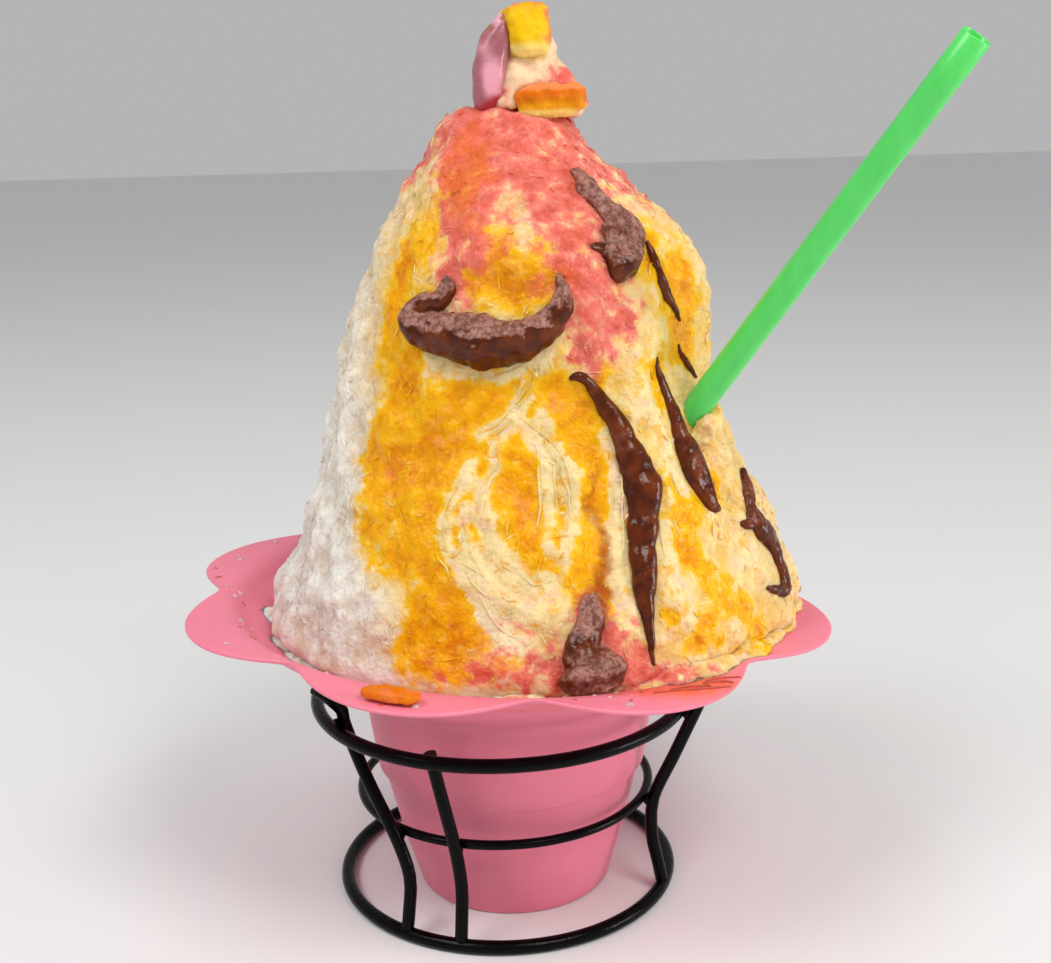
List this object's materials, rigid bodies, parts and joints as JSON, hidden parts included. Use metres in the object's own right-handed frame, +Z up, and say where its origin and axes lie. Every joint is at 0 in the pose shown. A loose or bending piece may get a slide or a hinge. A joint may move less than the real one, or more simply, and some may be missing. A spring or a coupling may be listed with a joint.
{
  "type": "shaved ice dessert",
  "caption": "A tall mound of syrup-soaked shaved ice with chocolate sauce, fruit, jelly and a straw, in a petal-rimmed cup held by a wire stand.",
  "frame": {"origin": "middle of the whole part's footprint, on the surface the cup and its holder stand on", "axes": "+Z up, -Y the front with the curl of chocolate sauce, +X the side the straw leans to"},
  "size_m": [0.1792, 0.1604, 0.2217],
  "materials": {
    "pink_plastic": "thin moulded plastic, satin, slightly translucent",
    "syrup_snow": "wet shaved ice soaked with mango and strawberry syrup and condensed milk",
    "chocolate": "thick glossy chocolate sauce",
    "mango": "wet cut mango",
    "pink_jelly": "glossy cloudy jelly",
    "cream": "soft creamy ice tinted with syrup",
    "green_plastic": "thin glossy drinking straw",
    "black_wire": "black plastic-coated steel wire, glossy"
  },
  "bodies": {
    "root": {"cup": "pink_plastic", "ice": "syrup_snow", "sauce_curl": "chocolate", "sauce_ridge": "chocolate", "sauce_long": "chocolate", "sauce_short": "chocolate", "sauce_edge": "chocolate", "sauce_foot": "chocolate", "straw": "green_plastic", "cream": "cream", "jelly": "pink_jelly", "mango_top": "mango", "mango_slab": "mango", "mango_on_brim": "mango", "upper_ring": "black_wire", "waist_ring": "black_wire", "foot_ring": "black_wire", "strut_1": "black_wire", "strut_2": "black_wire", "strut_3": "black_wire", "strut_4": "black_wire", "strut_5": "black_wire"}
  },
  "joints": []
}
